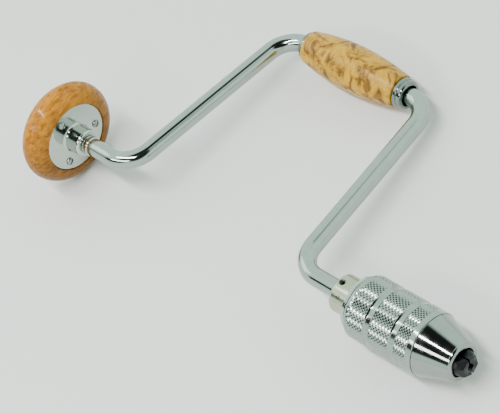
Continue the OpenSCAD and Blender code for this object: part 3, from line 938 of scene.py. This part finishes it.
@dataclass
class Chuck:
    """Collar, knurled sleeve, cap rings and polished nose. Sizes in millimetres.

    The knurl is coarser than a real one, which would be too fine to show.
    """

    first_band: float = 16.0
    band_pitch: float = 17.6
    groove_count: int = 2
    groove_w: float = 4.5
    groove_deep: float = 0.8
    plain_front: float = 3.6
    plain_rear: float = 4.8
    rear_round: float = 2.2
    knurl_pitch: float = 2.1
    knurl_deep: float = 0.37
    # Rows of points to each diamond, and how far off a point may be and still belong to a row
    knurl_fine: int = 2
    knurl_near: float = 0.01
    knurl_sharp_deg: float = 20.0
    cavity_r: float = 15.6
    neck_r: float = 13.6
    neck_bore: float = 12.4
    web_l: float = 5.0
    groove_round: float = 0.3
    edge_round: float = 0.5
    nose_seam: float = 0.15
    nose_step: float = 0.5
    nose_base_round: float = 0.35
    nose_tip_r: float = 11.8
    nose_round: float = 2.0
    nose_round_share: float = 0.95
    mouth_r: float = 8.3
    mouth_round: float = 0.4
    cone_deg: float = 12.4
    run_gap: float = 0.08
    cap_in: float = 4.0
    cap_room: float = 0.3
    cap_show: float = 1.3
    cap_flange_r: float = 16.4
    cap_flange_l: float = 0.8
    cap_lip_r: float = 15.4
    cap_seam: float = 0.45
    cap_gap: float = 0.7
    cap_seam_deep: float = 1.2
    cap_round: float = 0.25
    collar_r: float = 11.0
    sleeve: Extent = field(default_factory=lambda: Extent.of("chuck_sleeve"))
    cap: Extent = field(default_factory=lambda: Extent.of("sleeve_cap"))
    nose: Extent = field(default_factory=lambda: Extent.of("nose_cone"))

    def build(self) -> None:
        """Model the chuck's pieces and show them."""
        self.build_sleeve()
        self.build_cap()
        self.build_nose()
        self.build_spindle()
        dress("roll_pin", Slot.SPRING_STEEL)
        dress("nose_keeper", Slot.INNER_STEEL)
        dress("thrust_washer", Slot.BRONZE)

    @property
    def sleeve_face(self) -> float:
        """Station of the sleeve's rear edge, set forward so that the cap's rings show behind it."""
        return self.sleeve.rear + self.cap_show

    def bands(self) -> list[tuple[float, float]]:
        """Part the sleeve's length into its knurled bands.

        Returns:
            The rear and the front end of each band, in millimetres.
        """
        rear = self.sleeve.rear
        grooves = [rear + self.first_band + k * self.band_pitch for k in range(self.groove_count)]
        starts = [rear + self.plain_rear] + [groove + self.groove_w for groove in grooves]
        ends = grooves + [self.sleeve.front - self.plain_front]
        return list(zip(starts, ends))

    def build_sleeve(self) -> None:
        """Turn the sleeve with a point for every corner of its diamonds, and cut them."""
        front, top = self.sleeve.front, self.sleeve.radius
        floor = top - self.groove_deep
        neck = self.neck_r + self.run_gap
        bands = self.bands()
        section = [Corner(self.cavity_r, self.sleeve_face),
                   Corner(top - self.knurl_deep, self.sleeve_face, self.rear_round)]
        for k, (start, end) in enumerate(bands):
            if k:
                section.append(Corner(floor, start - self.groove_deep, self.groove_round))
            rows = self.knurl_fine * self.cells(end - start)
            section.extend(Corner(top, start + (end - start) * j / rows) for j in range(rows + 1))
            if k < len(bands) - 1:
                section.append(Corner(floor, end + self.groove_deep, self.groove_round))
        section += [Corner(top, bands[-1][1] + self.knurl_deep), Corner(top, front, self.edge_round),
                    Corner(neck, front), Corner(neck, front - self.web_l),
                    Corner(self.cavity_r, front - self.web_l)]
        bm = turn(outline(section, closed=True), steps=self.knurl_fine * self.cells(FULL_TURN * top))
        for start, end in bands:
            self.cut_diamonds(bm, start, end)
        show(bm, "sleeve_knurled", Body.SLEEVE, Slot.KNURLED_STEEL, "chuck_sleeve", self.knurl_sharp_deg)

    def cells(self, length: float) -> int:
        """Return how many diamonds go into a length in millimetres."""
        return round(length / self.knurl_pitch)

    def cut_diamonds(self, bm: BMesh, start: float, end: float) -> None:
        """Sink every second point of a band and split its faces along the cut lines.

        Args:
            bm: The turned sleeve.
            start: Rear end of the band, in millimetres.
            end: Front end of the band.
        """
        top = self.sleeve.radius
        columns = self.knurl_fine * self.cells(FULL_TURN * top)
        rows = self.knurl_fine * self.cells(end - start)
        lows: set[BMVert] = set()
        for point in bm.verts:
            radius = math.hypot(point.co.y, point.co.z) / MM
            row = (point.co.x / MM - start) / (end - start) * rows
            if abs(radius - top) > self.knurl_near or not -self.knurl_near < row < rows + self.knurl_near:
                continue
            column = round(math.atan2(point.co.y, point.co.z) / FULL_TURN * columns)
            if (round(row) + column) % 2:
                lows.add(point)
        for face in [f for f in bm.faces if len(f.verts) == 4]:
            cut = [v for v in face.verts if v in lows]
            if len(cut) == 2:
                bmesh.utils.face_split(face, cut[0], cut[1])
        sink = 1 - self.knurl_deep / top
        bmesh.ops.scale(bm, verts=list(lows), vec=(1, sink, sink))

    def build_cap(self) -> None:
        """Turn the cap: two thin bright rings behind the sleeve, each with a dark seam in front of it."""
        rear, face = self.cap.rear, self.sleeve_face
        inner = self.sleeve.rear + self.cap_in
        bore = self.collar_r + self.cap_room
        flange = face - self.cap_seam
        back = flange - self.cap_flange_l
        root = self.cap_lip_r - self.cap_seam_deep
        section = [Corner(bore, rear, self.cap_round), Corner(self.cap_lip_r, rear, self.cap_round),
                   Corner(self.cap_lip_r, back - self.cap_gap), Corner(root, back - self.cap_gap),
                   Corner(root, back), Corner(self.cap_flange_r, back, self.cap_round),
                   Corner(self.cap_flange_r, flange), Corner(root, flange),
                   Corner(root, face), Corner(self.cap.radius, face), Corner(self.cap.radius, inner),
                   Corner(bore, inner)]
        bm = turn(outline(section, closed=True))
        show(bm, "cap_rings", Body.SLEEVE, Slot.CHROME_PLATE, "sleeve_cap")

    def build_nose(self) -> None:
        """Turn the nose: a long taper outside, the closing cone inside and a neck in the sleeve."""
        rear, front = self.nose.rear, self.nose.front
        seam = self.sleeve.front + self.nose_seam
        tip = self.nose_tip_r
        base = self.sleeve.radius - self.nose_step
        cone = (self.neck_bore - self.mouth_r) / math.tan(math.radians(self.cone_deg))
        section = [Corner(self.neck_bore, rear), Corner(self.neck_r, rear), Corner(self.neck_r, seam),
                   Corner(base, seam, self.nose_base_round), Corner(tip, front - self.nose_round),
                   Corner(tip, front, self.nose_round * self.nose_round_share),
                   Corner(self.mouth_r, front, self.mouth_round), Corner(self.neck_bore, front - cone)]
        bm = turn(outline(section, closed=True))
        show(bm, "nose_polished", Body.NOSE, Slot.POLISHED_STEEL, "nose_cone")

    def build_spindle(self) -> None:
        """Give the spindle's solid even shading, so that its collar shines."""
        bm = solid_copy("chuck_spindle")
        show(bm, "spindle_and_collar", Body.CRANK, Slot.PALE_NICKEL, "chuck_spindle")


@dataclass
class Jaws:
    """The two blackened jaws and the wire ring that spreads them. Sizes in millimetres."""

    edge_break: float = 0.3
    edge_steps: int = 2

    def build(self) -> None:
        """Break the jaws' edges and show them."""
        for node, body in (("jaw_grip_side", Body.JAW_GRIP_SIDE), ("jaw_open_side", Body.JAW_OPEN_SIDE)):
            bm = solid_copy(node)
            edges = [e for e in bm.edges if e.is_manifold]
            sharp = [e for e in edges if e.calc_face_angle(0.0) > math.radians(SHARP_DEG)]
            bmesh.ops.bevel(bm, geom=sharp, offset=self.edge_break * MM, offset_type="OFFSET",
                            segments=self.edge_steps, profile=0.5, affect="EDGES", material=-1,
                            clamp_overlap=True)
            show(bm, node.replace("jaw", "blackened_jaw"), body, Slot.BLACK_OXIDE, node)
        dress("jaw_spring", Slot.SPRING_STEEL)


# Studio


@dataclass(frozen=True)
class Panel:
    """Soft light panel: its direction from the object, its size in metres and its radiance."""

    name: str
    way: tuple[float, float, float]
    size: tuple[float, float]
    radiance: float


@dataclass(frozen=True)
class Opening:
    """Dark opening in the light tent: its direction from the object and how far it reaches each way."""

    centre: tuple[float, float, float]
    half: tuple[float, float, float]


@dataclass
class Studio:
    """Floor, lights, surroundings and camera. Sizes in metres unless the name says otherwise."""

    photo_width: int = 500
    sensor_mm: float = 36.0
    focal_px: float = 2190.4
    camera_mm: tuple[float, float, float] = (540.5, -409.7, 889.4)
    aim: tuple[float, float, float] = (-0.58728, 0.35, -0.7298)
    roll_deg: float = 21.02
    floor_half: float = 4.0
    floor_cells: int = 8
    floor_gap_mm: float = 0.3
    room_light: str = "#b5c6be"
    room_dark: str = "#161817"
    room_strength: float = 3.2
    openings: tuple[Opening, ...] = (Opening((0.15, -0.2, 0.95), (0.42, 0.68, 1.2)),
                                     Opening((0.6, -0.33, 0.73), (0.44, 0.6, 0.6)),
                                     Opening((-0.25, -0.84, 0.4), (0.65, 0.28, 0.24)))
    opening_edge: Ramp = Ramp(0.75, 1.15)
    panel_far: float = 1.3
    panels: tuple[Panel, ...] = (Panel("strip_high", (-0.04, -0.36, 0.93), (1.1, 0.10), 52.0),
                                 Panel("strip_low", (-0.05, -0.80, 0.60), (1.1, 0.2), 11.0),
                                 Panel("panel_left", (-0.80, -0.25, 0.55), (0.7, 0.7), 1.6))
    middle: tuple[float, float, float] = (-0.16, 0.03, 0.0)

    def build(self) -> None:
        """Set up everything round the object."""
        self.build_floor()
        self.build_world()
        self.build_lights()
        self.build_camera()

    def build_floor(self) -> None:
        """Lay the floor against the three places that the brace rests on."""
        knob, sleeve, grip = Extent.of("head_knob"), Extent.of("chuck_sleeve"), Extent.of("grip_barrel")
        low_knob = Vector((knob.front - Head.rim_r, 0, -knob.radius)) * MM
        low_sleeve = Vector((sleeve.front - Chuck.edge_round, 0, -sleeve.radius)) * MM
        low_grip = Vector(((grip.front + grip.rear) / 2, grip.axis_y, -grip.radius)) * MM
        normal = (low_sleeve - low_knob).cross(low_grip - low_knob).normalized()
        bm = bmesh.new()
        bmesh.ops.create_grid(bm, x_segments=self.floor_cells, y_segments=self.floor_cells,
                              size=self.floor_half)
        turn_up = Vector((0, 0, 1)).rotation_difference(normal).to_matrix().to_4x4()
        below = Matrix.Translation(low_knob - normal * self.floor_gap_mm * MM)
        bmesh.ops.transform(bm, matrix=below @ turn_up, verts=bm.verts)
        mesh = bpy.data.meshes.new("floor")
        bm.to_mesh(mesh)
        bm.free()
        mesh.materials.append(PaperFloor("pale_paper").build())
        floor = bpy.data.objects.new("floor", mesh)
        bpy.context.scene.collection.objects.link(floor)

    def build_world(self) -> None:
        """Paint the room: a grey-green tent, dark where it opens overhead, at the camera and in front."""
        world = bpy.data.worlds.new("studio_room")
        bpy.context.scene.world = world
        world.use_nodes = True
        tree = world.node_tree
        tree.nodes.clear()
        way = add(tree, "TexCoord").outputs["Generated"]
        reaches = []
        for opening in self.openings:
            apart = add(tree, "Mapping", {"Vector": way, "Location": opening.centre, "Scale": opening.half},
                        vector_type="TEXTURE")
            reach = add(tree, "VectorMath", {0: apart.outputs[0]}, operation="LENGTH")
            reaches.append(reach.outputs["Value"])
        nearest = reaches[0]
        for reach in reaches[1:]:
            nearest = add(tree, "Math", {0: nearest, 1: reach}, operation="MINIMUM").outputs[0]
        lit = add(tree, "MapRange", {"Value": nearest, **self.opening_edge.limits},
                  interpolation_type="SMOOTHSTEP")
        room = add(tree, "Mix", {SHARE: lit.outputs[0], COLOUR_A: linear(self.room_dark),
                                 COLOUR_B: linear(self.room_light)}, data_type="RGBA")
        light = add(tree, "Background", {"Color": room.outputs[MIXED], "Strength": self.room_strength})
        add(tree, "OutputWorld", {"Surface": light.outputs[0]})

    def build_lights(self) -> None:
        """Hang the soft panels, each along its direction from the object."""
        for panel in self.panels:
            lamp = bpy.data.lights.new(panel.name, "AREA")
            lamp.shape = "RECTANGLE"
            lamp.size, lamp.size_y = panel.size
            lamp.energy = panel.radiance * math.pi * panel.size[0] * panel.size[1]
            way = Vector(panel.way).normalized()
            hung = bpy.data.objects.new(panel.name, lamp)
            hung.location = Vector(self.middle) + way * self.panel_far
            hung.rotation_euler = (-way).to_track_quat("-Z", "Y").to_euler()
            bpy.context.scene.collection.objects.link(hung)

    def build_camera(self) -> None:
        """Stand the camera where the photograph was taken from."""
        data = bpy.data.cameras.new("camera")
        data.sensor_width = self.sensor_mm
        data.lens = self.focal_px / self.photo_width * self.sensor_mm
        camera = bpy.data.objects.new("camera", data)
        camera.location = Vector(self.camera_mm) * MM
        level = Vector(self.aim).to_track_quat("-Z", "Y")
        camera.rotation_mode = "QUATERNION"
        roll = Matrix.Rotation(-math.radians(self.roll_deg), 3, "Z").to_quaternion()
        camera.rotation_quaternion = level @ roll
        bpy.context.scene.collection.objects.link(camera)
        bpy.context.scene.camera = camera


def main() -> None:
    """Build the studio and the brace's sub-assemblies in order."""
    logging.basicConfig(level=logging.INFO, format="%(name)s: %(message)s")
    Studio().build()
    for assembly in (Crank(), Head(), Grip(), Chuck(), Jaws()):
        assembly.build()
        LOG.info("built %s", type(assembly).__name__)


if __name__ == "__main__":
    main()
